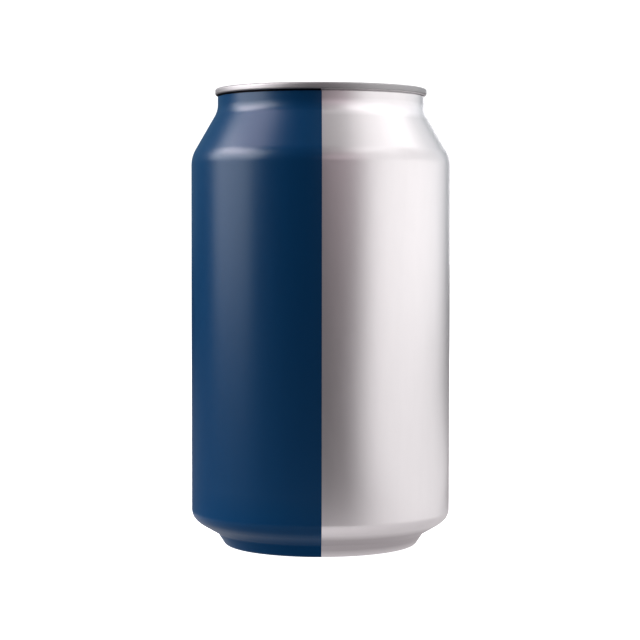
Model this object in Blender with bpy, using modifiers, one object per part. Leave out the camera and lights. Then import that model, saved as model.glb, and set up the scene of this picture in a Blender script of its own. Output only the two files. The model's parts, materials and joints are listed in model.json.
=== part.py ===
"""A sealed drinks can: a drawn and necked body with its contents, the seamed end and the stay-on tab.

The can stands on z = 0 with its axis on Z. Its mouth is towards -Y.
"""

import math

import bmesh
import bpy
from mathutils import Vector

MM = 0.001

# Body, outer surface
BODY_RADIUS = 33.1 * MM
NECK_RADIUS = 26.35 * MM
CONE_ANGLE = math.radians(30.0)
NECK_CORNER_HEIGHT = 111.0 * MM
NECK_FILLET = 6.0 * MM
SHOULDER_FILLET = 8.0 * MM
CHIME_HEIGHT = 7.5 * MM
CHIME_FILLET = 3.6 * MM
CHIME_LOWER_RADIUS = 31.05 * MM
CHIME_LOWER_HEIGHT = 5.8 * MM
CHIME_LOWER_FILLET = 9.5 * MM
CREASE_RADIUS = 26.5 * MM
CREASE_HEIGHT = 3.2 * MM
CREASE_FILLET = 2.0 * MM

# Foot ring and the dome inside it
FOOT_OUTER_RADIUS = 24.4 * MM
FOOT_OUTER_FILLET = 1.6 * MM
FOOT_INNER_RADIUS = 22.3 * MM
FOOT_INNER_FILLET = 1.0 * MM
DOME_EDGE_RADIUS = 21.0 * MM
DOME_EDGE_HEIGHT = 4.2 * MM
DOME_EDGE_FILLET = 1.4 * MM
DOME_HEIGHT = 10.2 * MM

# Seam where the end is rolled onto the neck
CAN_HEIGHT = 116.6 * MM
SEAM_RADIUS = 27.0 * MM
SEAM_HEIGHT = 1.75 * MM
SEAM_INNER_RADIUS = 25.85 * MM
SEAM_TOP_FILLET = 0.5 * MM
SEAM_TUCK = 0.6 * MM
CLEARANCE = 0.3 * MM

# End: chuck wall, countersink and panel
COUNTERSINK_DEPTH = 6.6 * MM
COUNTERSINK_OUTER_RADIUS = 23.5 * MM
COUNTERSINK_INNER_RADIUS = 22.3 * MM
COUNTERSINK_FILLET = 0.5 * MM
END_WALL = 0.5 * MM
PANEL_DEPTH = 4.4 * MM
PANEL_RADIUS = 21.9 * MM
PANEL_FILLET = 0.45 * MM
PANEL_THICKNESS = 1.2 * MM

# Shallow recess round the tab and the mouth, and the finger well
RECESS_DEPTH = 0.4 * MM
RECESS_MOUTH_RADIUS = 15.2 * MM
RECESS_MOUTH_CENTRE = -3.6 * MM
RECESS_HEEL_RADIUS = 9.6 * MM
RECESS_HEEL_CENTRE = 9.6 * MM
WELL_LENGTH = 7.0 * MM
WELL_WIDTH = 13.0 * MM
WELL_CENTRE = 13.2 * MM
WELL_DEPTH = 0.4 * MM

# Rivet, of one piece with the end
RIVET_STEM_RADIUS = 1.9 * MM
RIVET_HEAD_RADIUS = 2.9 * MM
RIVET_HEAD_HEIGHT = 0.5 * MM
RIVET_FLOOR_RADIUS = 5.0 * MM

# Tab
TAB_THICKNESS = 1.2 * MM
TAB_EDGE = 0.3 * MM
TAB_NOSE_RADIUS = 8.0 * MM
TAB_NOSE_CENTRE = -0.6 * MM
TAB_HEEL_RADIUS = 6.9 * MM
TAB_HEEL_CENTRE = 9.0 * MM
TAB_WEB_THICKNESS = 0.5 * MM
TAB_WEB_WIDTH = 10.0 * MM
TAB_WEB_LENGTH = 8.6 * MM
TAB_WEB_CORNER = 2.4 * MM
TAB_HOLE_WIDTH = 9.6 * MM
TAB_HOLE_LENGTH = 6.2 * MM
TAB_HOLE_CORNER = 3.0 * MM
TAB_HOLE_CENTRE = 9.6 * MM

# How finely round shapes are divided
TURN_STEPS = 64
ARC_STEP = math.radians(18.0)
DOME_STEP = math.radians(5.0)
OUTLINE_STEP = math.radians(15.0)

PANEL_HEIGHT = CAN_HEIGHT - PANEL_DEPTH
FLOOR_HEIGHT = PANEL_HEIGHT - RECESS_DEPTH
TAB_HEIGHT = FLOOR_HEIGHT + CLEARANCE
WEB_TOP = TAB_HEIGHT + TAB_WEB_THICKNESS


def arc_points(centre, start, turn, step):
    """Points on the arc that starts at start and turns about centre by turn radians."""
    count = max(2, math.ceil(abs(turn) / step))
    arm = start - centre
    points = []
    for index in range(count + 1):
        angle = turn * index / count
        cosine, sine = math.cos(angle), math.sin(angle)
        points.append(centre + Vector((arm.x * cosine - arm.y * sine, arm.x * sine + arm.y * cosine)))
    return points


def round_corner(before, corner, after, fillet, step):
    """The arc that replaces a corner between two straight runs."""
    to_before = (before - corner).normalized()
    to_after = (after - corner).normalized()
    half = to_before.angle(to_after) / 2
    reach = fillet / math.tan(half)
    centre = corner + (to_before + to_after).normalized() * fillet / math.sin(half)
    start = corner + to_before * reach
    end = corner + to_after * reach
    turn = (start - centre).angle_signed(end - centre)
    return arc_points(centre, start, -turn, step)


def rounded_path(corners, step=ARC_STEP, closed=False):
    """Turns corners of (x, y, fillet) into points, with an arc at every corner that has a fillet."""
    places = [Vector(corner[:2]) for corner in corners]
    points = []
    for index, (place, corner) in enumerate(zip(places, corners)):
        at_end = not closed and index in (0, len(places) - 1)
        if at_end or corner[2] == 0:
            points.append(place)
            continue
        before = places[index - 1]
        after = places[(index + 1) % len(places)]
        points += round_corner(before, place, after, corner[2], step)
    return points


def dome_points():
    """The dome's arc from just inside its edge to the axis."""
    rise = DOME_HEIGHT - DOME_EDGE_HEIGHT
    radius = (DOME_EDGE_RADIUS**2 + rise**2) / (2 * rise)
    centre = Vector((0, DOME_HEIGHT - radius))
    edge = Vector((DOME_EDGE_RADIUS, DOME_EDGE_HEIGHT))
    sweep = math.asin(DOME_EDGE_RADIUS / radius)
    return arc_points(centre, edge, sweep, DOME_STEP)


def body_profile():
    """The filled body, from the axis under the end, round the outside and up into the dome."""
    shoulder_height = NECK_CORNER_HEIGHT - (BODY_RADIUS - NECK_RADIUS) / math.tan(CONE_ANGLE)
    neck_top = CAN_HEIGHT - SEAM_HEIGHT - CLEARANCE
    under_panel = PANEL_HEIGHT - PANEL_THICKNESS - CLEARANCE
    under_sink = CAN_HEIGHT - COUNTERSINK_DEPTH - END_WALL - CLEARANCE
    sink_inner = COUNTERSINK_INNER_RADIUS - END_WALL - CLEARANCE
    dome = dome_points()
    corners = [
        (0, under_panel, 0),
        (sink_inner, under_panel, 0),
        (sink_inner, under_sink, 0),
        (chuck_wall_radius(under_sink) + END_WALL + CLEARANCE, under_sink, 0),
        (chuck_wall_radius(neck_top) + END_WALL + CLEARANCE, neck_top, 0),
        (NECK_RADIUS, neck_top, 0),
        (NECK_RADIUS, NECK_CORNER_HEIGHT, NECK_FILLET),
        (BODY_RADIUS, shoulder_height, SHOULDER_FILLET),
        (BODY_RADIUS, CHIME_HEIGHT, CHIME_FILLET),
        (CHIME_LOWER_RADIUS, CHIME_LOWER_HEIGHT, CHIME_LOWER_FILLET),
        (CREASE_RADIUS, CREASE_HEIGHT, CREASE_FILLET),
        (FOOT_OUTER_RADIUS, 0, FOOT_OUTER_FILLET),
        (FOOT_INNER_RADIUS, 0, FOOT_INNER_FILLET),
        (DOME_EDGE_RADIUS, DOME_EDGE_HEIGHT, DOME_EDGE_FILLET),
        (dome[1].x, dome[1].y, 0),
    ]
    return rounded_path(corners) + dome[2:]


def chuck_wall_radius(height):
    """Inner radius of the sloping wall between the seam and the countersink."""
    bottom = CAN_HEIGHT - COUNTERSINK_DEPTH
    share = (height - bottom) / COUNTERSINK_DEPTH
    return COUNTERSINK_OUTER_RADIUS + (SEAM_INNER_RADIUS - COUNTERSINK_OUTER_RADIUS) * share


def end_profile():
    """The end as one turned piece: rivet, panel, countersink, chuck wall and seam, then its underside."""
    sink = CAN_HEIGHT - COUNTERSINK_DEPTH
    seam_bottom = CAN_HEIGHT - SEAM_HEIGHT
    head_bottom = WEB_TOP + CLEARANCE
    head_top = head_bottom + RIVET_HEAD_HEIGHT
    sink_inner = COUNTERSINK_INNER_RADIUS - END_WALL
    corners = [
        (0, head_top, 0),
        (RIVET_HEAD_RADIUS, head_top, RIVET_HEAD_HEIGHT / 2),
        (RIVET_HEAD_RADIUS, head_bottom, 0),
        (RIVET_STEM_RADIUS, head_bottom, 0),
        (RIVET_STEM_RADIUS, FLOOR_HEIGHT, 0),
        (RIVET_FLOOR_RADIUS, FLOOR_HEIGHT, 0),
        (RIVET_FLOOR_RADIUS, PANEL_HEIGHT, 0),
        (PANEL_RADIUS, PANEL_HEIGHT, PANEL_FILLET),
        (COUNTERSINK_INNER_RADIUS, sink, COUNTERSINK_FILLET),
        (COUNTERSINK_OUTER_RADIUS, sink, COUNTERSINK_FILLET),
        (SEAM_INNER_RADIUS, CAN_HEIGHT, SEAM_TOP_FILLET),
        (SEAM_RADIUS, CAN_HEIGHT, SEAM_TOP_FILLET),
        (SEAM_RADIUS, seam_bottom, SEAM_TUCK),
        (chuck_wall_radius(seam_bottom) + END_WALL, seam_bottom, 0),
        (chuck_wall_radius(sink - END_WALL) + END_WALL, sink - END_WALL, 0),
        (sink_inner, sink - END_WALL, 0),
        (sink_inner, PANEL_HEIGHT - PANEL_THICKNESS, 0),
        (0, PANEL_HEIGHT - PANEL_THICKNESS, 0),
    ]
    return rounded_path(corners)


def capsule_outline(low_radius, low_centre, high_radius, high_centre):
    """Closed outline round two circles on the Y axis, joined by their common tangents."""
    lean = math.asin((low_radius - high_radius) / (high_centre - low_centre))
    low = Vector((0, low_centre))
    high = Vector((0, high_centre))
    side = Vector((math.cos(lean), math.sin(lean)))
    other = Vector((-side.x, side.y))
    over = arc_points(high, high + side * high_radius, math.pi - 2 * lean, OUTLINE_STEP)
    under = arc_points(low, low + other * low_radius, math.pi + 2 * lean, OUTLINE_STEP)
    return over + under


def slot_outline(width, length, corner, centre=0.0):
    """Closed rectangle with round corners, centred on the Y axis."""
    x, low, high = width / 2, centre - length / 2, centre + length / 2
    corners = [(x, low, corner), (x, high, corner), (-x, high, corner), (-x, low, corner)]
    return rounded_path(corners, OUTLINE_STEP, closed=True)


def circle_outline(radius):
    """Closed circle about the axis."""
    start = Vector((radius, 0))
    return arc_points(Vector((0, 0)), start, 2 * math.pi, OUTLINE_STEP)[:-1]


def metal(name, colour, roughness):
    """Plain metal finish."""
    material = bpy.data.materials.new(name)
    material.use_nodes = True
    shader = material.node_tree.nodes["Principled BSDF"]
    shader.inputs["Base Color"].default_value = (*colour, 1)
    shader.inputs["Metallic"].default_value = 1.0
    shader.inputs["Roughness"].default_value = roughness
    material.diffuse_color = (*colour, 1)
    return material


def two_tone(name, lacquer, bare, roughness):
    """Satin lacquer on the half at -X and bare metal on the half at +X."""
    material = metal(name, bare, roughness)
    nodes, links = material.node_tree.nodes, material.node_tree.links
    shader = nodes["Principled BSDF"]
    place = nodes.new("ShaderNodeTexCoord")
    axes = nodes.new("ShaderNodeSeparateXYZ")
    coated = nodes.new("ShaderNodeMath")
    coated.operation = "LESS_THAN"
    coated.inputs[1].default_value = 0.0
    colours = nodes.new("ShaderNodeMix")
    colours.data_type = "RGBA"
    colours.inputs["A"].default_value = (*bare, 1)
    colours.inputs["B"].default_value = (*lacquer, 1)
    links.new(place.outputs["Object"], axes.inputs[0])
    links.new(axes.outputs["X"], coated.inputs[0])
    links.new(coated.outputs[0], colours.inputs["Factor"])
    links.new(colours.outputs["Result"], shader.inputs["Base Color"])
    return material


def turned(name, profile, material, collection):
    """A solid of revolution about Z from a profile that starts and ends on the axis."""
    mesh = bpy.data.meshes.new(name)
    places = [(point.x, 0, point.y) for point in profile]
    mesh.from_pydata(places, [(i, i + 1) for i in range(len(places) - 1)], [])
    piece = bpy.data.objects.new(name, mesh)
    collection.objects.link(piece)
    mesh.materials.append(material)
    screw = piece.modifiers.new("Turn", "SCREW")
    screw.axis = "Z"
    screw.steps = TURN_STEPS
    screw.render_steps = TURN_STEPS
    screw.use_merge_vertices = True
    screw.merge_threshold = 0.00001
    screw.use_smooth_shade = True
    return piece


def plate(name, outlines, low, high, collection, edge=0.0):
    """A flat plate between two heights. The first outline is its edge and the others are holes."""
    curve = bpy.data.curves.new(name, "CURVE")
    curve.dimensions = "2D"
    curve.fill_mode = "BOTH"
    curve.extrude = (high - low) / 2 - edge
    curve.bevel_depth = edge
    curve.offset = -edge
    curve.bevel_resolution = 1
    for outline in outlines:
        spline = curve.splines.new("POLY")
        spline.points.add(len(outline) - 1)
        for point, place in zip(spline.points, outline):
            point.co = (place.x, place.y, 0, 1)
        spline.use_cyclic_u = True
    guide = bpy.data.objects.new(name + "_outline", curve)
    collection.objects.link(guide)
    guide.location.z = (low + high) / 2
    bpy.context.view_layer.update()
    graph = bpy.context.evaluated_depsgraph_get()
    mesh = bpy.data.meshes.new_from_object(guide.evaluated_get(graph))
    mesh.name = name
    piece = bpy.data.objects.new(name, mesh)
    collection.objects.link(piece)
    piece.matrix_world = guide.matrix_world
    bpy.data.objects.remove(guide)
    weld(mesh)
    return piece


def weld(mesh):
    """Joins the caps of a filled curve to its sides."""
    work = bmesh.new()
    work.from_mesh(mesh)
    bmesh.ops.remove_doubles(work, verts=work.verts, dist=0.000001)
    bmesh.ops.recalc_face_normals(work, faces=work.faces)
    work.to_mesh(mesh)
    work.free()


def cut(piece, cutter):
    """Removes the cutter's space from the piece."""
    cutter.hide_render = True
    cutter.display_type = "WIRE"
    boolean = piece.modifiers.new(cutter.name, "BOOLEAN")
    boolean.operation = "DIFFERENCE"
    boolean.object = cutter


def make_body(parts):
    coat = two_tone("lacquer_and_aluminium", (0.004, 0.03, 0.11), (0.78, 0.76, 0.77), 0.35)
    return turned("can_body", body_profile(), coat, parts)


def make_end(parts, cutters):
    bare = metal("end_aluminium", (0.80, 0.79, 0.79), 0.28)
    end = turned("can_end", end_profile(), bare, parts)
    ring = capsule_outline(RECESS_MOUTH_RADIUS, RECESS_MOUTH_CENTRE, RECESS_HEEL_RADIUS, RECESS_HEEL_CENTRE)
    above = PANEL_HEIGHT + TAB_THICKNESS
    stem = circle_outline(RIVET_FLOOR_RADIUS - CLEARANCE)
    cut(end, plate("recess_cutter", [ring, stem], FLOOR_HEIGHT, PANEL_HEIGHT + CLEARANCE / 2, cutters))
    well = slot_outline(WELL_WIDTH, WELL_LENGTH, WELL_LENGTH / 2.2, WELL_CENTRE)
    cut(end, plate("finger_well_cutter", [well], FLOOR_HEIGHT - WELL_DEPTH, above, cutters))
    return end


def make_tab(parts, cutters):
    outline = capsule_outline(TAB_NOSE_RADIUS, TAB_NOSE_CENTRE, TAB_HEEL_RADIUS, TAB_HEEL_CENTRE)
    finger_hole = slot_outline(TAB_HOLE_WIDTH, TAB_HOLE_LENGTH, TAB_HOLE_CORNER, TAB_HOLE_CENTRE)
    rivet_hole = circle_outline(RIVET_STEM_RADIUS + CLEARANCE)
    top = TAB_HEIGHT + TAB_THICKNESS
    tab = plate("tab", [outline, finger_hole, rivet_hole], TAB_HEIGHT, top, parts, TAB_EDGE)
    tab.data.materials.append(metal("tab_aluminium", (0.82, 0.81, 0.80), 0.25))
    web = slot_outline(TAB_WEB_WIDTH, TAB_WEB_LENGTH, TAB_WEB_CORNER)
    cut(tab, plate("web_cutter", [web], WEB_TOP, top + TAB_THICKNESS, cutters))
    tab.data.shade_smooth()
    tab.data.set_sharp_from_angle(angle=math.radians(35.0))
    return tab


def make_can():
    for leftover in list(bpy.data.objects):
        bpy.data.objects.remove(leftover)
    parts = bpy.data.collections.new("drinks_can")
    cutters = bpy.data.collections.new("cutters")
    bpy.context.scene.collection.children.link(parts)
    bpy.context.scene.collection.children.link(cutters)
    cutters.hide_render = True
    make_body(parts)
    make_end(parts, cutters)
    make_tab(parts, cutters)


make_can()
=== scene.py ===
import json
import math

import bmesh
import bpy
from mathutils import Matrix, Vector

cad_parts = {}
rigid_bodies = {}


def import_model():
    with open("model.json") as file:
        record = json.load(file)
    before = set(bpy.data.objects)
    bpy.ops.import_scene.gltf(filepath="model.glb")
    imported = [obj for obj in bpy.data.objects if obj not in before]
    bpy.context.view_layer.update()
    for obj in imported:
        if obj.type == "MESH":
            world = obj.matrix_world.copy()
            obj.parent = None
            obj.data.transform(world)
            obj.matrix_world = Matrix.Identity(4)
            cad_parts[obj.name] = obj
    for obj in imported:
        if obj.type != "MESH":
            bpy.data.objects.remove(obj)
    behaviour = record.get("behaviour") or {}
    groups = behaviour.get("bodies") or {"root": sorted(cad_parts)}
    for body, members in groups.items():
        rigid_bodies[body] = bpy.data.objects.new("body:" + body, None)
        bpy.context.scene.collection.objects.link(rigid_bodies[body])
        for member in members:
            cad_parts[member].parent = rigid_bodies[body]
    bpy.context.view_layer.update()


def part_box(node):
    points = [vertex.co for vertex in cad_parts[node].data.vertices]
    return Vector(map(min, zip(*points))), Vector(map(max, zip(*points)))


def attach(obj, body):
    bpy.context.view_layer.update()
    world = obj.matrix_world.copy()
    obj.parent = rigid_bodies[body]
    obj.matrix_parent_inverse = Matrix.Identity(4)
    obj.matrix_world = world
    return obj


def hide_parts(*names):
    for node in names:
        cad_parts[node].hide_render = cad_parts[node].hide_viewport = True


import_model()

mm = 0.001
weldReach = 0.002 * mm  # points closer than this are one point
outlineStep = 5.0  # degrees of arc between two points of a rounded outline
boxStep = 9.0  # the same at the corners of a rounded box
flatFaceWeight = 80  # pull of large faces on the normals beside them

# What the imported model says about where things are
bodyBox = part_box("can_body")
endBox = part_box("can_end")
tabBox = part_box("tab")
bodyRadius = bodyBox[1].x
neckTop = bodyBox[1].z
canHeight = endBox[1].z
seamRadius = endBox[1].x
tabMiddle = (tabBox[0].z + tabBox[1].z) / 2


# Lines are drawn point by point, then spun or filled
def arcPoints(centre, start, turn, step):
    count = max(2, math.ceil(abs(turn) / step))
    arm = start - centre
    points = []
    for index in range(count + 1):
        angle = turn * index / count
        across = arm.x * math.cos(angle) - arm.y * math.sin(angle)
        up = arm.x * math.sin(angle) + arm.y * math.cos(angle)
        points.append(centre + Vector((across, up)))
    return points


def roundedPath(corners, stepDegrees, closed=False):
    # corners are (x, y, fillet); each fillet becomes an arc
    places = [Vector(corner[:2]) for corner in corners]
    points = []
    for index, corner in enumerate(corners):
        here = places[index]
        atEnd = not closed and index in (0, len(corners) - 1)
        if atEnd or corner[2] == 0:
            points.append(here)
            continue
        toBefore = (places[index - 1] - here).normalized()
        toAfter = (places[(index + 1) % len(places)] - here).normalized()
        half = toBefore.angle(toAfter) / 2
        reach = corner[2] / math.tan(half)
        centre = here + (toBefore + toAfter).normalized() * corner[2] / math.sin(half)
        start = here + toBefore * reach
        end = here + toAfter * reach
        turn = -(start - centre).angle_signed(end - centre)
        points += arcPoints(centre, start, turn, math.radians(stepDegrees))
    return points


def deselectAll():
    bpy.ops.object.select_all(action="DESELECT")


def newPiece(name):
    # an empty mesh at the origin, open in edit mode
    deselectAll()
    bpy.ops.mesh.primitive_plane_add(size=mm)
    piece = bpy.context.object
    piece.name = name
    piece.data.name = name
    bpy.ops.object.mode_set(mode="EDIT")
    bpy.ops.mesh.select_mode(type="VERT")
    bpy.ops.mesh.delete(type="VERT")
    return piece


def drawLine(places, closed=False):
    # one loose point, then each next point extruded from the last
    bpy.ops.mesh.select_all(action="DESELECT")
    bpy.ops.mesh.primitive_plane_add(size=mm, location=places[0])
    bpy.ops.mesh.merge(type="CENTER")
    stops = places[1:] + places[:1] if closed else places[1:]
    here = places[0]
    for stop in stops:
        bpy.ops.mesh.extrude_region_move(TRANSFORM_OT_translate={"value": stop - here})
        here = stop
    bpy.ops.mesh.select_linked()
    if closed:
        bpy.ops.mesh.remove_doubles(threshold=weldReach)


def spinProfile(profile, steps, fromDegrees=0.0, turnDegrees=360.0):
    # profile points are (radius, height); the line is drawn at its start angle and spun about Z
    start = math.radians(fromDegrees)
    outward = Vector((math.cos(start), math.sin(start), 0))
    drawLine([outward * point.x + Vector((0, 0, point.y)) for point in profile])
    bpy.ops.mesh.spin(steps=steps, angle=math.radians(turnDegrees), center=(0, 0, 0), axis=(0, 0, -1))
    bpy.ops.mesh.select_linked()


def weldAll():
    bpy.ops.mesh.select_all(action="SELECT")
    bpy.ops.mesh.remove_doubles(threshold=weldReach)
    bpy.ops.mesh.normals_make_consistent(inside=False)


def smoothBy(degrees):
    # smooth, but for edges sharper than this
    bpy.ops.object.shade_smooth_by_angle(angle=math.radians(degrees))


def leaveEdit(smoothDegrees=None):
    bpy.ops.object.mode_set(mode="OBJECT")
    if smoothDegrees:
        smoothBy(smoothDegrees)


def evenNormals(piece):
    # large flat faces keep their own direction beside small fillets
    weighted = piece.modifiers.new("evenNormals", "WEIGHTED_NORMAL")
    weighted.keep_sharp = True
    weighted.weight = flatFaceWeight
    bpy.ops.object.modifier_apply(modifier=weighted.name)


def outlineAt(points, height):
    return [Vector((point.x, point.y, height)) for point in points]


def capFacingUp():
    # fills the selected loop with one face and turns it upwards
    bpy.ops.mesh.edge_face_add()
    mesh = bmesh.from_edit_mesh(bpy.context.object.data)
    mesh.normal_update()
    caps = [face for face in mesh.faces if face.select]
    if caps[0].normal.z < 0:
        bpy.ops.mesh.flip_normals()


def stepInwards(steps):
    # each step is (how far in, how far up) from the step before
    for inwards, upwards in steps:
        bpy.ops.mesh.inset(thickness=inwards, depth=upwards, use_even_offset=True)


def openCap():
    bpy.ops.mesh.delete(type="ONLY_FACE")


def fillLevel(height):
    # fills between all open loops that lie at one height
    bpy.ops.mesh.select_mode(type="EDGE")
    bpy.ops.mesh.select_all(action="DESELECT")
    mesh = bmesh.from_edit_mesh(bpy.context.object.data)
    for edge in mesh.edges:
        level = all(abs(corner.co.z - height) < weldReach for corner in edge.verts)
        edge.select = level and len(edge.link_faces) < 2
    bmesh.update_edit_mesh(bpy.context.object.data)
    bpy.ops.mesh.fill(use_beauty=True)
    bpy.ops.mesh.select_mode(type="VERT")


def ramp(width, rise, count=6):
    # a soft S from one level to the next, as steps for stepInwards
    steps = []
    before = 0.0
    for index in range(count):
        share = (index + 1) / count
        level = rise * (1 - math.cos(math.pi * share)) / 2
        steps.append((width / count, level - before))
        before = level
    return steps


def quarterRound(radius, rising, count=5):
    # rising goes from the side to the top, falling from the top to the side
    steps = []
    for index in range(count):
        low = math.pi / 2 * index / count
        high = math.pi / 2 * (index + 1) / count
        acrossStep = radius * (math.cos(low) - math.cos(high))
        alongStep = radius * (math.sin(high) - math.sin(low))
        steps.append((acrossStep, alongStep) if rising else (alongStep, -acrossStep))
    return steps


def capsuleOutline(lowRadius, lowCentre, highRadius, highCentre, grow=0.0):
    # two circles on the Y axis and their common tangents
    lean = math.asin((lowRadius - highRadius) / (highCentre - lowCentre))
    low = Vector((0, lowCentre))
    high = Vector((0, highCentre))
    side = Vector((math.cos(lean), math.sin(lean)))
    other = Vector((-side.x, side.y))
    step = math.radians(outlineStep)
    over = arcPoints(high, high + side * (highRadius + grow), math.pi - 2 * lean, step)
    under = arcPoints(low, low + other * (lowRadius + grow), math.pi + 2 * lean, step)
    return over + under


def roundedBox(halfWidth, low, high, lowCorner, highCorner, grow=0.0, centreX=0.0):
    right = centreX + halfWidth + grow
    left = centreX - halfWidth - grow
    corners = [
        (right, low - grow, lowCorner + grow),
        (right, high + grow, highCorner + grow),
        (left, high + grow, highCorner + grow),
        (left, low - grow, lowCorner + grow),
    ]
    return roundedPath(corners, boxStep, closed=True)


def ellipseOutline(halfWidth, halfLength, centreY, count=96):
    points = []
    for index in range(count):
        angle = 2 * math.pi * index / count
        points.append(Vector((halfWidth * math.cos(angle), centreY + halfLength * math.sin(angle))))
    return points


# Materials are built from nodes by these
noiseRange = (0.25, 0.75)  # noise seldom leaves it
mottleDetail = 2.0


def addNode(tree, kind, **settings):
    node = tree.nodes.new("ShaderNode" + kind)
    for name, value in settings.items():
        setattr(node, name, value)
    return node


def newMaterial(name, base, metallic, roughness):
    material = bpy.data.materials.new(name)
    material.use_nodes = True
    shader = material.node_tree.nodes["Principled BSDF"]
    shader.inputs["Base Color"].default_value = (*base, 1)
    shader.inputs["Metallic"].default_value = metallic
    shader.inputs["Roughness"].default_value = roughness
    return material, material.node_tree, shader


def spreadTo(tree, source, low, high):
    # noise becomes low to high
    spread = addNode(tree, "MapRange")
    spread.inputs["From Min"].default_value = noiseRange[0]
    spread.inputs["From Max"].default_value = noiseRange[1]
    spread.inputs["To Min"].default_value = low
    spread.inputs["To Max"].default_value = high
    tree.links.new(source, spread.inputs["Value"])
    return spread.outputs["Result"]


def shadeOf(tree, source, dark, light):
    mix = addNode(tree, "Mix", data_type="RGBA")
    mix.inputs["A"].default_value = (*dark, 1)
    mix.inputs["B"].default_value = (*light, 1)
    tree.links.new(source, mix.inputs["Factor"])
    return mix.outputs["Result"]


def noiseOn(tree, vector, scale, detail, roughness=0.5):
    noise = addNode(tree, "TexNoise")
    noise.inputs["Scale"].default_value = scale
    noise.inputs["Detail"].default_value = detail
    noise.inputs["Roughness"].default_value = roughness
    tree.links.new(vector, noise.inputs["Vector"])
    return noise.outputs["Fac"]


def bumpOf(tree, height, distance, strength):
    bump = addNode(tree, "Bump")
    bump.inputs["Distance"].default_value = distance
    bump.inputs["Strength"].default_value = strength
    tree.links.new(height, bump.inputs["Height"])
    return bump.outputs["Normal"]


def drawnGrain(tree, stretch):
    # direction round the axis, with a slow change in height: streaks that run up the wall
    place = addNode(tree, "TexCoord")
    axes = addNode(tree, "SeparateXYZ")
    flat = addNode(tree, "CombineXYZ")
    around = addNode(tree, "VectorMath", operation="NORMALIZE")
    split = addNode(tree, "SeparateXYZ")
    rise = addNode(tree, "Math", operation="MULTIPLY")
    rise.inputs[1].default_value = stretch
    grain = addNode(tree, "CombineXYZ")
    tree.links.new(place.outputs["Object"], axes.inputs[0])
    tree.links.new(axes.outputs["X"], flat.inputs["X"])
    tree.links.new(axes.outputs["Y"], flat.inputs["Y"])
    tree.links.new(flat.outputs[0], around.inputs[0])
    tree.links.new(around.outputs[0], split.inputs[0])
    tree.links.new(split.outputs["X"], grain.inputs["X"])
    tree.links.new(split.outputs["Y"], grain.inputs["Y"])
    tree.links.new(axes.outputs["Z"], rise.inputs[0])
    tree.links.new(rise.outputs[0], grain.inputs["Z"])
    return grain.outputs[0], place.outputs["Object"]


def rolledGrain(tree, along):
    # straight lines of rolled sheet, along the axis with the smallest scale
    place = addNode(tree, "TexCoord")
    turn = addNode(tree, "Mapping")
    turn.inputs["Scale"].default_value = along
    tree.links.new(place.outputs["Object"], turn.inputs["Vector"])
    return turn.outputs[0], place.outputs["Object"]


def levelOf(tree, value, limit, width, rising=True):
    # 0 on one side of the limit and 1 on the other
    level = addNode(tree, "MapRange")
    level.inputs["From Min"].default_value = limit - width / 2
    level.inputs["From Max"].default_value = limit + width / 2
    level.inputs["To Min"].default_value = 0.0 if rising else 1.0
    level.inputs["To Max"].default_value = 1.0 if rising else 0.0
    tree.links.new(value, level.inputs["Value"])
    return level.outputs["Result"]


def mixOver(tree, factor, under, colour):
    # a colour laid over what is linked so far
    over = shadeOf(tree, factor, colour, colour)
    tree.links.new(under, over.node.inputs["A"])
    return over


def bandOf(tree, value, low, high, width):
    # 1 between two limits and 0 outside them
    band = addNode(tree, "Math", operation="MULTIPLY")
    tree.links.new(levelOf(tree, value, low, width), band.inputs[0])
    tree.links.new(levelOf(tree, value, high, width, rising=False), band.inputs[1])
    return band.outputs[0]


def heightOf(tree, place):
    axes = addNode(tree, "SeparateXYZ")
    tree.links.new(place, axes.inputs[0])
    return axes.outputs["Z"]


# A finish's roughness stays on one side of 0.274: a range across it comes out with specks
bareLook = {
    "base": (0.81, 0.79, 0.795),
    "baseDark": (0.78, 0.76, 0.765),
    "roughness": (0.33, 0.42),
    "plainRoughness": 0.37,  # of the shader itself, under its nodes
    "mottleScale": 14.0,
    "grainScale": 170.0,
    "grainDetail": (3.0, 0.6),  # octaves and how strong the small ones are
    "grainStretch": 6.0,
    "grainBump": (0.004 * mm, 0.6),  # height and strength
    "crease": (0.53, 0.505, 0.515),  # painted shade in the turned-in line over the foot ring
    "creaseShadeBand": (1.2 * mm, 5.6 * mm, 1.6 * mm),  # from, to, blend
    "neck": (0.98, 0.955, 0.965),  # painted highlight: a lighter band on the neck's fillet
    "neckBand": (109.2 * mm, 112.2 * mm, 1.4 * mm),
}

lacquerLook = {
    "base": (0.0002, 0.052, 0.138),
    "baseDark": (0.0002, 0.048, 0.129),
    "roughness": (0.278, 0.31),
    "plainRoughness": 0.35,
    "gloss": (0.06, 0.5),  # at the foot and on the wall
    "glossChange": (10.0 * mm, 12.0 * mm),  # middle height and width of that change
    "mottleScale": 12.0,
    "mottleStretch": 6.0,
    "peelScale": 900.0,
    "peelDetail": 2.0,
    "peelBump": (0.003 * mm, 0.5),
}

endLook = {
    "base": (0.80, 0.785, 0.79),
    "baseDark": (0.75, 0.735, 0.74),
    "roughness": (0.28, 0.36),
    "mottleScale": 160.0,
    "along": (90.0, 2.0, 90.0),
    "grainScale": 60.0,
    "grainDetail": (4.0, 0.6),
    "grainBump": (0.004 * mm, 0.5),
}

seamLook = {
    "base": (0.45, 0.445, 0.45),  # rubbed dull by the seaming rolls
    "roughness": 0.55,
    "creviceShadeAndLight": ((0.015, 0.015, 0.018), (0.95, 0.93, 0.94)),  # painted shade in the gap under the seam beside the lacquer, painted light in that gap on the bare side
    "blend": 0.12 * mm,
}

tabLook = {
    "base": (0.85, 0.84, 0.83),
    "baseDark": (0.80, 0.79, 0.78),
    "roughness": (0.18, 0.27),
    "mottleScale": 160.0,
    "along": (60.0, 2.0, 60.0),
    "grainScale": 90.0,
    "grainDetail": (4.0, 0.6),
    "grainBump": (0.003 * mm, 0.5),
}


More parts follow.
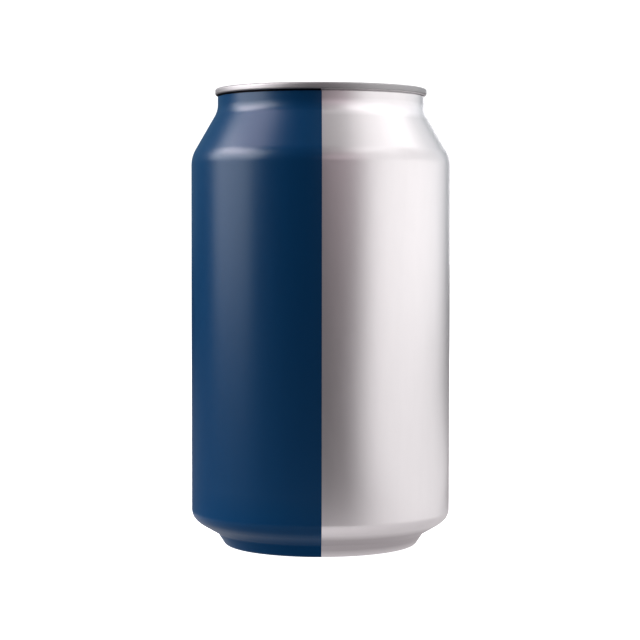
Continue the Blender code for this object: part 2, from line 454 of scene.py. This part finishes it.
def bareAluminium():
    look = bareLook
    material, tree, shader = newMaterial("bareAluminium", look["base"], 1.0, look["plainRoughness"])
    grain, place = drawnGrain(tree, look["grainStretch"])
    height = heightOf(tree, place)
    fine = noiseOn(tree, grain, look["grainScale"], *look["grainDetail"])
    broad = noiseOn(tree, grain, look["mottleScale"], mottleDetail)
    sheen = shadeOf(tree, broad, look["baseDark"], look["base"])
    # painted shade: a darker band in the crease over the foot ring
    inCreaseShade = bandOf(tree, height, *look["creaseShadeBand"])
    creaseShaded = mixOver(tree, inCreaseShade, sheen, look["crease"])
    # painted highlight: a lighter band on the neck's fillet
    onNeckHighlight = bandOf(tree, height, *look["neckBand"])
    tree.links.new(mixOver(tree, onNeckHighlight, creaseShaded, look["neck"]), shader.inputs["Base Color"])
    tree.links.new(spreadTo(tree, fine, *look["roughness"]), shader.inputs["Roughness"])
    tree.links.new(bumpOf(tree, fine, *look["grainBump"]), shader.inputs["Normal"])
    return material


def navyLacquer():
    look = lacquerLook
    material, tree, shader = newMaterial("navyLacquer", look["base"], 0.0, look["plainRoughness"])
    grain, place = drawnGrain(tree, look["mottleStretch"])
    broad = noiseOn(tree, grain, look["mottleScale"], mottleDetail)
    peel = noiseOn(tree, place, look["peelScale"], look["peelDetail"])
    tree.links.new(shadeOf(tree, broad, look["baseDark"], look["base"]), shader.inputs["Base Color"])
    tree.links.new(spreadTo(tree, peel, *look["roughness"]), shader.inputs["Roughness"])
    gloss = addNode(tree, "MapRange")
    gloss.inputs["To Min"].default_value = look["gloss"][0]
    gloss.inputs["To Max"].default_value = look["gloss"][1]
    tree.links.new(levelOf(tree, heightOf(tree, place), *look["glossChange"]), gloss.inputs["Value"])
    tree.links.new(gloss.outputs["Result"], shader.inputs["Specular IOR Level"])
    tree.links.new(bumpOf(tree, peel, *look["peelBump"]), shader.inputs["Normal"])
    return material


def rolledAluminium(name, look):
    material, tree, shader = newMaterial(name, look["base"], 1.0, look["roughness"][0])
    grain, place = rolledGrain(tree, look["along"])
    fine = noiseOn(tree, grain, look["grainScale"], *look["grainDetail"])
    broad = noiseOn(tree, place, look["mottleScale"], mottleDetail)
    tree.links.new(shadeOf(tree, broad, look["baseDark"], look["base"]), shader.inputs["Base Color"])
    tree.links.new(spreadTo(tree, fine, *look["roughness"]), shader.inputs["Roughness"])
    tree.links.new(bumpOf(tree, fine, *look["grainBump"]), shader.inputs["Normal"])
    return material


def dullSeamAndCreviceShading(material, seamBottom, wallSlope, wallMiddle):
    # the rolled seam is duller than the panel; the crevice under it gets painted shade beside the lacquer and
    # painted light on the bare side
    look = seamLook
    tree = material.node_tree
    shader = tree.nodes["Principled BSDF"]
    sheen = shader.inputs["Base Color"].links[0].from_socket
    rough = shader.inputs["Roughness"].links[0].from_socket
    place = addNode(tree, "TexCoord")
    axes = addNode(tree, "SeparateXYZ")
    flat = addNode(tree, "VectorMath", operation="MULTIPLY")
    flat.inputs[1].default_value = (1, 1, 0)
    reach = addNode(tree, "VectorMath", operation="LENGTH")
    tree.links.new(place.outputs["Object"], axes.inputs[0])
    tree.links.new(place.outputs["Object"], flat.inputs[0])
    tree.links.new(flat.outputs[0], reach.inputs[0])
    onSeam = levelOf(tree, axes.outputs["Z"], seamBottom, look["blend"])
    low = levelOf(tree, axes.outputs["Z"], seamBottom + look["blend"], look["blend"], rising=False)
    outwards = addNode(tree, "Math", operation="MULTIPLY_ADD")
    outwards.inputs[1].default_value = -wallSlope
    tree.links.new(axes.outputs["Z"], outwards.inputs[0])
    tree.links.new(reach.outputs["Value"], outwards.inputs[2])
    wide = levelOf(tree, outwards.outputs[0], wallMiddle, look["blend"])
    inShadedGap = addNode(tree, "Math", operation="MULTIPLY")
    tree.links.new(low, inShadedGap.inputs[0])
    tree.links.new(wide, inShadedGap.inputs[1])
    dull = mixOver(tree, onSeam, sheen, look["base"])
    bareSide = levelOf(tree, axes.outputs["X"], 0.0, look["blend"])
    # painted shade in the gap under the seam on the lacquered half, painted light in that gap on the bare
    # half
    gap = mixOver(tree, inShadedGap.outputs[0], dull, look["creviceShadeAndLight"][0])
    tree.links.new(shadeOf(tree, bareSide, *look["creviceShadeAndLight"]), gap.node.inputs["B"])
    tree.links.new(gap, shader.inputs["Base Color"])
    rougher = addNode(tree, "MapRange")
    tree.links.new(onSeam, rougher.inputs["Value"])
    tree.links.new(rough, rougher.inputs["To Min"])
    rougher.inputs["To Max"].default_value = look["roughness"]
    tree.links.new(rougher.outputs["Result"], shader.inputs["Roughness"])


print("materials")
bareMetal = bareAluminium()
lacquer = navyLacquer()
endMetal = rolledAluminium("endAluminium", endLook)
tabMetal = rolledAluminium("tabAluminium", tabLook)


# The drawn and necked body, and the lacquer on its left half
body = {
    "turnSteps": 256,
    "neckRadius": 26.35 * mm,
    "neckHeight": 111.0 * mm,
    "neckFillet": 6.0 * mm,
    "coneAngle": 30.0,
    "shoulderFillet": 8.0 * mm,
    "chime": (7.5 * mm, 3.6 * mm),  # height, fillet
    "chimeLower": (31.05 * mm, 5.8 * mm, 9.5 * mm),  # radius, height, fillet
    "crease": (26.5 * mm, 3.2 * mm, 2.0 * mm),
    "footOuter": (24.4 * mm, 1.6 * mm),  # radius, fillet
    "footInner": (22.3 * mm, 1.0 * mm),
    "domeEdge": (21.0 * mm, 4.2 * mm, 1.4 * mm),
    "domeHeight": 10.2 * mm,
    "coatInset": 0.04 * mm,  # room for the lacquer over the metal
    "coatThickness": 0.02 * mm,
    "coatFrom": 90.43,  # degrees round the axis, where the lacquer starts
    "sharpAngle": 40.0,  # degrees; edges that turn more than this stay sharp
    "wallStep": 4.0,  # degrees of arc between two points of a fillet
    "footStep": 6.0,
    "domeStep": 2.0,
}

end = {
    "turnSteps": 256,
    "seamHeight": 1.75 * mm,
    "seamInner": 25.85 * mm,
    "seamTopFillet": 0.5 * mm,
    "seamTuck": 0.6 * mm,
    "sinkDepth": 6.6 * mm,
    "sinkOuter": 23.5 * mm,
    "sinkInner": 22.3 * mm,
    "sinkFillet": 0.5 * mm,
    "wall": 0.5 * mm,
    "panelDepth": 4.4 * mm,
    "panelRadius": 21.9 * mm,
    "panelFillet": 0.45 * mm,
    "panelFlat": 21.2 * mm,
    "panelThickness": 1.2 * mm,
    "clearance": 0.3 * mm,
    "sharpAngle": 35.0,
    "arcStep": 9.0,
}
panelHeight = canHeight - end["panelDepth"]
sinkHeight = canHeight - end["sinkDepth"]


def chuckWall(height):
    # inner radius of the sloping wall between the seam and the countersink
    share = (height - sinkHeight) / end["sinkDepth"]
    return end["sinkOuter"] + (end["seamInner"] - end["sinkOuter"]) * share


def outerLine():
    # outside of the can from under the seam to the flat of the foot ring
    slope = math.tan(math.radians(body["coneAngle"]))
    shoulderHeight = body["neckHeight"] - (bodyRadius - body["neckRadius"]) / slope
    corners = [
        (body["neckRadius"], neckTop, 0),
        (body["neckRadius"], body["neckHeight"], body["neckFillet"]),
        (bodyRadius, shoulderHeight, body["shoulderFillet"]),
        (bodyRadius, *body["chime"]),
        body["chimeLower"],
        body["crease"],
        (body["footOuter"][0], 0, body["footOuter"][1]),
        (body["footInner"][0], 0, 0),
    ]
    return roundedPath(corners, body["wallStep"])[:-1]


def insetLine(points, distance):
    # the same line, moved inwards along its own normals
    moved = []
    for index, point in enumerate(points):
        before = points[max(index - 1, 0)]
        after = points[min(index + 1, len(points) - 1)]
        along = (after - before).normalized()
        moved.append(point + Vector((along.y, -along.x)) * distance)
    return moved


def footAndDome():
    # from the flat of the foot ring up into the dome and to the axis
    edgeRadius, edgeHeight, edgeFillet = body["domeEdge"]
    rise = body["domeHeight"] - edgeHeight
    radius = (edgeRadius**2 + rise**2) / (2 * rise)
    centre = Vector((0, body["domeHeight"] - radius))
    sweep = math.asin(edgeRadius / radius)
    dome = arcPoints(centre, Vector((edgeRadius, edgeHeight)), sweep, math.radians(body["domeStep"]))
    corners = [
        (body["footOuter"][0], 0, 0),
        (body["footInner"][0], 0, body["footInner"][1]),
        body["domeEdge"],
        (dome[1].x, dome[1].y, 0),
    ]
    return roundedPath(corners, body["footStep"])[1:] + dome[2:]


def underEnd():
    # closed top of the filled body, hidden by the end
    gap = end["clearance"] + end["wall"]
    underPanel = panelHeight - end["panelThickness"] - end["clearance"]
    underSink = sinkHeight - gap
    sinkInner = end["sinkInner"] - gap
    return [
        Vector((0, underPanel)),
        Vector((sinkInner, underPanel)),
        Vector((sinkInner, underSink)),
        Vector((chuckWall(underSink) + gap, underSink)),
        Vector((chuckWall(neckTop) + gap, neckTop)),
    ]


def makeShell():
    shell = newPiece("canShell")
    line = outerLine()
    wall = [Vector((line[0].x - body["coatInset"], neckTop))]
    wall += insetLine(line, body["coatInset"])[1:-1] + line[-1:]
    spinProfile(underEnd() + wall + footAndDome(), body["turnSteps"])
    weldAll()
    leaveEdit(body["sharpAngle"])
    shell.data.materials.append(bareMetal)
    return shell


def makeCoat():
    coat = newPiece("lacquerCoat")
    spinProfile(outerLine()[:-1], body["turnSteps"] // 2, body["coatFrom"], 180.0)
    weldAll()
    leaveEdit()
    film = coat.modifiers.new("film", "SOLIDIFY")
    film.thickness = body["coatThickness"]
    film.offset = -1.0
    bpy.ops.object.modifier_apply(modifier=film.name)
    smoothBy(body["sharpAngle"])
    coat.data.materials.append(lacquer)
    return coat


print("body")
canShell = makeShell()
lacquerCoat = makeCoat()


# The seamed end: ring, panel with its recess, mouth, finger well, beads and rivet
panel = {
    "recess": (15.2 * mm, -3.6 * mm, 9.6 * mm, 9.6 * mm),  # mouth radius and centre, heel radius and centre
    "recessDepth": 0.4 * mm,
    "recessRamp": 0.8 * mm,
    "mouth": (11.2 * mm, 7.0 * mm, -10.6 * mm),  # half width, half length, centre
    "scoreWidth": 0.16 * mm,
    "scoreDepth": 0.10 * mm,
    "mouthBeadFrom": 0.9 * mm,
    "mouthBeadWidth": 1.2 * mm,
    "mouthBeadHeight": 0.24 * mm,
    "well": (6.5 * mm, 9.7 * mm, 16.7 * mm, 3.18 * mm),  # half width, low, high, corner
    "wellDepth": 0.4 * mm,
    "wellRamp": 0.9 * mm,
    "sideBead": (11.1 * mm, 0.75 * mm, -2.6 * mm, 4.4 * mm),  # centre X, half width, low, high
    "sideBeadHeight": 0.25 * mm,
    "sideBeadRound": 0.98,  # corner radius over half width, just short of a full round
    "sideBeadRamp": 0.8,  # ramp width over half width
    "beadSteps": 4,
}

rivet = {
    "turnSteps": 64,
    "foot": 3.2 * mm,
    "bossRadius": 2.7 * mm,
    "bossHeight": 0.25 * mm,
    "stem": 1.9 * mm,
    "head": 2.9 * mm,
    "headHeight": 0.5 * mm,
    "headOverTab": 0.2 * mm,  # from the middle of the tab's web
    "dimple": 1.5 * mm,
    "dimpleSlope": 0.3 * mm,
    "dimpleDepth": 0.12 * mm,
    "bossFillets": (0.2 * mm, 0.1 * mm),
    "headFillets": (0.12 * mm, 0.3 * mm),  # under and on top
    "dimpleFillets": (0.25 * mm, 0.3 * mm),  # lip and floor
    "arcStep": 15.0,
}
recessFloor = panelHeight - panel["recessDepth"]


def makeEndRing():
    ring = newPiece("canEnd")
    seamBottom = canHeight - end["seamHeight"]
    under = sinkHeight - end["wall"]
    inner = end["sinkInner"] - end["wall"]
    corners = [
        (end["panelFlat"], panelHeight, 0),
        (end["panelRadius"], panelHeight, end["panelFillet"]),
        (end["sinkInner"], sinkHeight, end["sinkFillet"]),
        (end["sinkOuter"], sinkHeight, end["sinkFillet"]),
        (end["seamInner"], canHeight, end["seamTopFillet"]),
        (seamRadius, canHeight, end["seamTopFillet"]),
        (seamRadius, seamBottom, end["seamTuck"]),
        (chuckWall(seamBottom) + end["wall"], seamBottom, 0),
        (chuckWall(under) + end["wall"], under, 0),
        (inner, under, 0),
        (inner, panelHeight - end["panelThickness"], 0),
        (0, panelHeight - end["panelThickness"], 0),
    ]
    spinProfile(roundedPath(corners, end["arcStep"]), end["turnSteps"])
    weldAll()
    leaveEdit()
    return ring


def makePanel():
    plate = newPiece("panelPlate")
    bpy.ops.mesh.primitive_circle_add(
        vertices=end["turnSteps"], radius=end["panelFlat"], location=(0, 0, panelHeight))
    halfRamp = panel["recessRamp"] / 2
    drawLine(outlineAt(capsuleOutline(*panel["recess"], grow=halfRamp), panelHeight), closed=True)
    capFacingUp()
    stepInwards(ramp(panel["recessRamp"], -panel["recessDepth"]))
    openCap()
    fillLevel(panelHeight)

    # mouth: the score's groove, then a raised bead on the tear panel
    halfWidth, halfLength, centre = panel["mouth"]
    drawLine(outlineAt(ellipseOutline(halfWidth, halfLength, centre), recessFloor), closed=True)
    capFacingUp()
    stepInwards([(panel["scoreWidth"], -panel["scoreDepth"]), (panel["scoreWidth"], panel["scoreDepth"])])
    stepInwards([(panel["mouthBeadFrom"], 0.0)])
    halfBead = panel["mouthBeadWidth"] / 2
    stepInwards(ramp(halfBead, panel["mouthBeadHeight"], panel["beadSteps"]))
    stepInwards(ramp(halfBead, -panel["mouthBeadHeight"], panel["beadSteps"]))

    # finger well behind the tab's heel
    wellHalf, wellLow, wellHigh, wellCorner = panel["well"]
    grow = panel["wellRamp"] / 2
    well = roundedBox(wellHalf, wellLow, wellHigh, wellCorner, wellCorner, grow)
    drawLine(outlineAt(well, recessFloor), closed=True)
    capFacingUp()
    stepInwards(ramp(panel["wellRamp"], -panel["wellDepth"]))

    # a stiffening bead at each side of the tab
    beadX, beadHalf, beadLow, beadHigh = panel["sideBead"]
    beadCorner = beadHalf * panel["sideBeadRound"]
    beadRamp = beadHalf * panel["sideBeadRamp"]
    for side in (-1, 1):
        bead = roundedBox(beadHalf, beadLow, beadHigh, beadCorner, beadCorner, centreX=side * beadX)
        drawLine(outlineAt(bead, recessFloor), closed=True)
        capFacingUp()
        stepInwards(ramp(beadRamp, panel["sideBeadHeight"], panel["beadSteps"]))

    # rivet foot, left open for the rivet
    bpy.ops.mesh.select_all(action="DESELECT")
    bpy.ops.mesh.primitive_circle_add(
        vertices=rivet["turnSteps"], radius=rivet["foot"], location=(0, 0, recessFloor))
    fillLevel(recessFloor)
    leaveEdit()
    return plate


def makeRivet():
    button = newPiece("rivetButton")
    headBottom = tabMiddle + rivet["headOverTab"]
    headTop = headBottom + rivet["headHeight"]
    bossTop = recessFloor + rivet["bossHeight"]
    dimpleFloor = headTop - rivet["dimpleDepth"]
    corners = [
        (rivet["foot"], recessFloor, 0),
        (rivet["bossRadius"], bossTop, rivet["bossFillets"][0]),
        (rivet["stem"], bossTop, rivet["bossFillets"][1]),
        (rivet["stem"], headBottom, 0),
        (rivet["head"], headBottom, rivet["headFillets"][0]),
        (rivet["head"], headTop, rivet["headFillets"][1]),
        (rivet["dimple"], headTop, rivet["dimpleFillets"][0]),
        (rivet["dimple"] - rivet["dimpleSlope"], dimpleFloor, rivet["dimpleFillets"][1]),
        (0, dimpleFloor, 0),
    ]
    spinProfile(roundedPath(corners, rivet["arcStep"]), rivet["turnSteps"])
    weldAll()
    leaveEdit()
    return button


def joinInto(whole, parts):
    deselectAll()
    for part in parts:
        part.select_set(True)
    whole.select_set(True)
    bpy.context.view_layer.objects.active = whole
    bpy.ops.object.join()
    bpy.ops.object.mode_set(mode="EDIT")
    weldAll()
    leaveEdit(end["sharpAngle"])


print("end")
canEnd = makeEndRing()
joinInto(canEnd, [makePanel(), makeRivet()])
evenNormals(canEnd)
chuckSlope = (end["seamInner"] - end["sinkOuter"]) / end["sinkDepth"]
chuckMiddle = end["sinkOuter"] + end["wall"] / 2 - chuckSlope * sinkHeight
dullSeamAndCreviceShading(endMetal, canHeight - end["seamHeight"], chuckSlope, chuckMiddle)
canEnd.data.materials.append(endMetal)


# The stay-on tab, held under the rivet's head
tab = {
    "outline": (8.0 * mm, -0.6 * mm, 6.9 * mm, 9.0 * mm),  # nose radius and centre, heel radius and centre
    "edge": 0.6 * mm,
    # half width, low, high, low corner, high corner
    "hole": (4.8 * mm, 6.5 * mm, 12.7 * mm, 2.6 * mm, 3.0 * mm),
    "web": (5.7 * mm, -6.6 * mm, 4.5 * mm, 5.2 * mm, 2.0 * mm),
    "webRamp": 0.7 * mm,
    "webHalf": 0.15 * mm,
    "slitInner": 3.5 * mm,
    "slitOuter": 4.1 * mm,
    "slitTurn": 235.0,
    "rivetHole": 2.2 * mm,
    "rivetHoleSteps": 48,
    "slitStep": 8.0,  # degrees of arc between two points
    "slitEndStep": 30.0,
    "sharpAngle": 35.0,
}


def slitOutline():
    # a C round the rivet, open towards the nose
    half = math.radians(tab["slitTurn"] / 2)
    middle = math.pi / 2
    origin = Vector((0, 0))

    def at(radius, angle):
        return Vector((radius * math.cos(angle), radius * math.sin(angle)))

    step = math.radians(tab["slitStep"])
    endStep = math.radians(tab["slitEndStep"])
    outer = arcPoints(origin, at(tab["slitOuter"], middle - half), 2 * half, step)
    inner = arcPoints(origin, at(tab["slitInner"], middle + half), -2 * half, step)
    bend = (tab["slitOuter"] - tab["slitInner"]) / 2
    centreRadius = tab["slitInner"] + bend
    endCap = arcPoints(at(centreRadius, middle + half), outer[-1], math.pi, endStep)
    startCap = arcPoints(at(centreRadius, middle - half), inner[-1], math.pi, endStep)
    return outer + endCap[1:-1] + inner + startCap[1:-1]


def makeTab():
    # the upper half is modelled on z = 0 and mirrored
    ring = newPiece("tabRing")
    drawLine(outlineAt(capsuleOutline(*tab["outline"]), 0.0), closed=True)
    capFacingUp()
    stepInwards(quarterRound(tab["edge"], rising=True))
    openCap()

    top = tab["edge"]
    drawLine(outlineAt(roundedBox(*tab["hole"], grow=tab["edge"]), top), closed=True)
    capFacingUp()
    stepInwards(quarterRound(tab["edge"], rising=False))
    openCap()
    drawLine(outlineAt(roundedBox(*tab["web"]), top), closed=True)
    capFacingUp()
    stepInwards(ramp(tab["webRamp"], tab["webHalf"] - top))
    openCap()
    fillLevel(top)

    webTop = tab["webHalf"]
    drawLine(outlineAt(slitOutline(), webTop), closed=True)
    bpy.ops.mesh.select_all(action="DESELECT")
    bpy.ops.mesh.primitive_circle_add(
        vertices=tab["rivetHoleSteps"], radius=tab["rivetHole"], location=(0, 0, webTop))
    fillLevel(webTop)

    # sides of the two holes in the web
    mesh = bmesh.from_edit_mesh(ring.data)
    bpy.ops.mesh.select_mode(type="EDGE")
    bpy.ops.mesh.select_all(action="DESELECT")
    for edge in mesh.edges:
        edge.select = edge.is_boundary and all(abs(corner.co.z - webTop) < weldReach for corner in edge.verts)
    bmesh.update_edit_mesh(ring.data)
    bpy.ops.mesh.extrude_region_move(TRANSFORM_OT_translate={"value": (0, 0, -webTop)})
    bpy.ops.mesh.select_mode(type="VERT")
    leaveEdit()

    mirror = ring.modifiers.new("underside", "MIRROR")
    mirror.use_axis = (False, False, True)
    mirror.merge_threshold = weldReach
    bpy.ops.object.modifier_apply(modifier=mirror.name)
    bpy.ops.object.mode_set(mode="EDIT")
    weldAll()
    bpy.ops.transform.translate(value=(0, 0, tabMiddle))
    leaveEdit(tab["sharpAngle"])
    evenNormals(ring)
    ring.data.materials.append(tabMetal)
    return ring


print("tab")
tabRing = makeTab()

for piece in (canShell, lacquerCoat, canEnd, tabRing):
    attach(piece, "root")
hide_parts("can_body")
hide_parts("can_body")
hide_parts("can_end")
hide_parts("tab")


# Floor, world, lights and camera
white = (1.0, 1.0, 1.0)
softWhite = (1.0, 0.98, 0.99)
rosy = (1.0, 0.86, 0.93)

studio = {
    "floorSize": 12.0,
    "floorMottle": 30.0,
    "floorRoughness": 0.7,
    "floorPale": ((0.84, 0.84, 0.85), (0.86, 0.86, 0.87)),
    "floorInMetal": (0.15, 0.15, 0.15),  # how light the floor is in the can's reflections
    "floorGlow": 0.90,  # extra light that only the camera sees, for the photo's white ground
    "roomFront": (0.035, 0.035, 0.035),
    "roomRear": (0.13, 0.17, 0.19),
    "roomTurn": (0.1, 0.9),  # how far round the room changes from front to rear
    "lightCentre": (0.0, 0.0, 0.06),
    "lightReach": 0.75,
    "floorLightHeight": 0.05 * mm,
    "lens": 116.16,
    "cameraPlace": (-0.0002, -0.5302, 0.07907),
    "cameraTilt": 2.32,
    "cameraRoll": -0.06,
    "cameraClip": 0.01,
}

# name: azimuth to the right of the camera, elevation, half width and half height, all in degrees,
# then watts a square metre and tint
softBoxes = {
    "leftKey": (-84.0, 27.0, 28.0, 14.0, 13.6, softWhite),
    "leftMiddle": (-87.0, 33.0, 16.0, 8.0, 14.0, rosy),
    "leftLow": (-84.0, 6.0, 21.0, 7.0, 7.1, softWhite),
    "leftHigh": (-87.0, 56.0, 14.0, 12.0, 9.5, rosy),
    "frontLow": (17.0, 17.0, 18.0, 9.0, 1.85, (1.0, 0.80, 0.88)),
    "frontHigh": (19.0, 43.0, 18.0, 8.0, 1.25, (1.0, 0.92, 0.95)),
    "rightFront": (53.0, 20.0, 18.0, 26.0, 2.55, softWhite),
    "rightSide": (89.0, 20.0, 18.0, 26.0, 2.4, softWhite),
    "rightBack": (125.0, 20.0, 18.0, 26.0, 2.05, softWhite),
    "rightLow": (85.0, 2.0, 40.0, 6.0, 1.9, softWhite),
    "rightTop": (80.0, 54.0, 27.0, 10.0, 2.9, softWhite),
    "backTop": (140.0, 56.0, 18.0, 9.0, 8.0, softWhite),
    "rearRight": (168.0, 16.0, 9.0, 16.0, 8.0, softWhite),
    "overhead": (30.0, 80.0, 12.0, 12.0, 4.6, softWhite),
}

# lights that lie on the floor and shine up: centre, width, depth, watts a square metre and tint
floorLights = {
    "footGlow": (0.01, 0.0, 0.147, 0.147, 1.24, (1.0, 0.96, 0.98)),
    "rightCard": (0.25, -0.05, 0.36, 0.60, 1.58, softWhite),
}


def makeFloor():
    deselectAll()
    bpy.ops.mesh.primitive_plane_add(size=studio["floorSize"])
    floor = bpy.context.object
    floor.name = "paleFloor"
    material, tree, shader = newMaterial("paleGround", studio["floorPale"][1], 0.0, studio["floorRoughness"])
    shader.inputs["Specular IOR Level"].default_value = 0.0
    place = addNode(tree, "TexCoord")
    ray = addNode(tree, "LightPath")
    mottle = noiseOn(tree, place.outputs["Object"], studio["floorMottle"], mottleDetail)
    pale = shadeOf(tree, mottle, *studio["floorPale"])
    tint = shadeOf(tree, ray.outputs["Is Camera Ray"], studio["floorInMetal"], studio["floorPale"][1])
    tree.links.new(pale, tint.node.inputs["B"])
    tree.links.new(tint, shader.inputs["Base Color"])
    glow = addNode(tree, "Math", operation="MULTIPLY")
    glow.inputs[1].default_value = studio["floorGlow"]
    shader.inputs["Emission Color"].default_value = (*white, 1)
    tree.links.new(ray.outputs["Is Camera Ray"], glow.inputs[0])
    tree.links.new(glow.outputs[0], shader.inputs["Emission Strength"])
    floor.data.materials.append(material)
    return floor


def makeRoom():
    # dark in front of the can and grey behind it, and white where the camera looks past the can
    world = bpy.data.worlds.new("studioRoom")
    bpy.context.scene.world = world
    world.use_nodes = True
    tree = world.node_tree
    back = tree.nodes["Background"]
    place = addNode(tree, "TexCoord")
    axes = addNode(tree, "SeparateXYZ")
    rearwards = addNode(tree, "MapRange", interpolation_type="SMOOTHSTEP")
    rearwards.inputs["From Min"].default_value = studio["roomTurn"][0]
    rearwards.inputs["From Max"].default_value = studio["roomTurn"][1]
    ray = addNode(tree, "LightPath")
    tree.links.new(place.outputs["Generated"], axes.inputs[0])
    tree.links.new(axes.outputs["Y"], rearwards.inputs["Value"])
    room = shadeOf(tree, rearwards.outputs["Result"], studio["roomFront"], studio["roomRear"])
    tint = shadeOf(tree, ray.outputs["Is Camera Ray"], studio["roomFront"], white)
    tree.links.new(room, tint.node.inputs["A"])
    tree.links.new(tint, back.inputs["Color"])


def areaLight(name, place, facing, width, tall, brightness, tint, shape):
    bpy.ops.object.light_add(type="AREA", location=place)
    light = bpy.context.object
    light.name = name
    light.data.shape = shape
    light.data.size = width
    light.data.size_y = tall
    light.data.energy = brightness * width * tall
    light.data.color = tint
    light.rotation_euler = facing.to_track_quat("-Z", "Y").to_euler()
    light.visible_camera = False


def makeLights():
    reach = studio["lightReach"]
    for name, (azimuth, elevation, halfWidth, halfHeight, brightness, tint) in softBoxes.items():
        turn = math.radians(azimuth)
        lift = math.radians(elevation)
        way = Vector((math.sin(turn) * math.cos(lift), -math.cos(turn) * math.cos(lift), math.sin(lift)))
        width = 2 * reach * math.tan(math.radians(halfWidth))
        tall = 2 * reach * math.tan(math.radians(halfHeight))
        place = Vector(studio["lightCentre"]) + way * reach
        areaLight(name, place, -way, width, tall, brightness, tint, "RECTANGLE")
    up = Vector((0, 0, 1))
    for name, (x, y, width, depth, brightness, tint) in floorLights.items():
        place = (x, y, studio["floorLightHeight"])
        areaLight(name, place, up, width, depth, brightness, tint, "ELLIPSE")


def makeCamera():
    bpy.ops.object.camera_add(location=studio["cameraPlace"])
    camera = bpy.context.object
    pitch = math.radians(90.0 - studio["cameraTilt"])
    camera.rotation_euler = (pitch, math.radians(studio["cameraRoll"]), 0)
    camera.data.lens = studio["lens"]
    camera.data.clip_start = studio["cameraClip"]
    bpy.context.scene.camera = camera


print("studio")
floor = makeFloor()
makeRoom()
makeLights()
makeCamera()
viewing = bpy.context.scene.view_settings
viewing.view_transform = "Standard"
viewing.look = "Medium High Contrast"

print("done")
